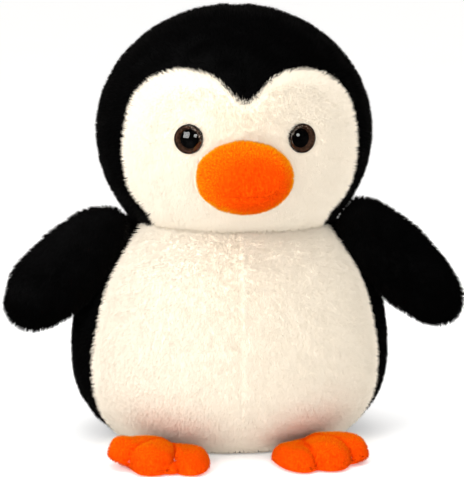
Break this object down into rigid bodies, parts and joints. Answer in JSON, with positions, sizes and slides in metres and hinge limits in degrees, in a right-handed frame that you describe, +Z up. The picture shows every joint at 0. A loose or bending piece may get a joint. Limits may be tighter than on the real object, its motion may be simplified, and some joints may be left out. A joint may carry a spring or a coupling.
{
  "type": "plush penguin",
  "caption": "Sitting stuffed toy penguin with a nodding head, flapping wings and flexing feet, sewn from plush panels over loose filling.",
  "frame": {"origin": "centre of the flat base panel, on the surface the toy sits on", "axes": "+Z up, -Y towards the beak, +X towards the toy's own left wing"},
  "size_m": [0.2488, 0.1776, 0.238],
  "materials": {
    "black_plush": "short black pile fabric",
    "white_plush": "warm white pile fabric",
    "orange_plush": "short velvety orange pile",
    "filling": "loose polyester fibre",
    "pellet_cloth": "plain woven bag of small plastic pellets",
    "eye_black": "polished",
    "eye_brown": "painted ring behind the lens",
    "eye_clear": "clear polished dome",
    "washer_plastic": "plain moulded"
  },
  "bodies": {
    "torso": {"belly_panel": "white_plush", "left_back_panel": "black_plush", "right_back_panel": "black_plush", "base_panel": "black_plush", "torso_fill": "filling", "pellet_bag": "pellet_cloth"},
    "head": {"left_hood_panel": "black_plush", "right_hood_panel": "black_plush", "face_panel": "white_plush", "head_fill": "filling", "beak_upper_panel": "orange_plush", "beak_lower_panel": "orange_plush", "beak_fill": "filling", "left_eye_core": "eye_black", "left_eye_iris": "eye_brown", "left_eye_lens": "eye_clear", "left_eye_washer": "washer_plastic", "right_eye_core": "eye_black", "right_eye_iris": "eye_brown", "right_eye_lens": "eye_clear", "right_eye_washer": "washer_plastic"},
    "left_wing": {"left_wing_front_panel": "black_plush", "left_wing_back_panel": "black_plush", "left_wing_fill": "filling"},
    "right_wing": {"right_wing_front_panel": "black_plush", "right_wing_back_panel": "black_plush", "right_wing_fill": "filling"},
    "left_foot": {"left_foot_upper": "orange_plush", "left_foot_sole": "orange_plush", "left_foot_fill": "filling"},
    "right_foot": {"right_foot_upper": "orange_plush", "right_foot_sole": "orange_plush", "right_foot_fill": "filling"}
  },
  "joints": [
    {"name": "head_nod", "type": "hinge", "parent": "torso", "child": "head", "pos_m": [0, -0.008, 0.17], "axis": [1, 0, 0], "range_deg": [-8, 8], "stiffness_Nm_per_rad": 1},
    {"name": "left_wing_flap", "type": "hinge", "parent": "torso", "child": "left_wing", "pos_m": [0.0695, -0.03, 0.1195], "axis": [0, -1, 0], "range_deg": [0, 60], "stiffness_Nm_per_rad": 0.1},
    {"name": "right_wing_flap", "type": "hinge", "parent": "torso", "child": "right_wing", "pos_m": [-0.0695, -0.03, 0.1195], "axis": [0, 1, 0], "range_deg": [0, 60], "stiffness_Nm_per_rad": 0.1},
    {"name": "left_foot_flex", "type": "hinge", "parent": "torso", "child": "left_foot", "pos_m": [0.0368, -0.069, 0.0145], "axis": [-1, 0, 0], "range_deg": [-12, 25], "stiffness_Nm_per_rad": 0.1},
    {"name": "right_foot_flex", "type": "hinge", "parent": "torso", "child": "right_foot", "pos_m": [-0.0432, -0.069, 0.0145], "axis": [-1, 0, 0], "range_deg": [-12, 25], "stiffness_Nm_per_rad": 0.1}
  ]
}
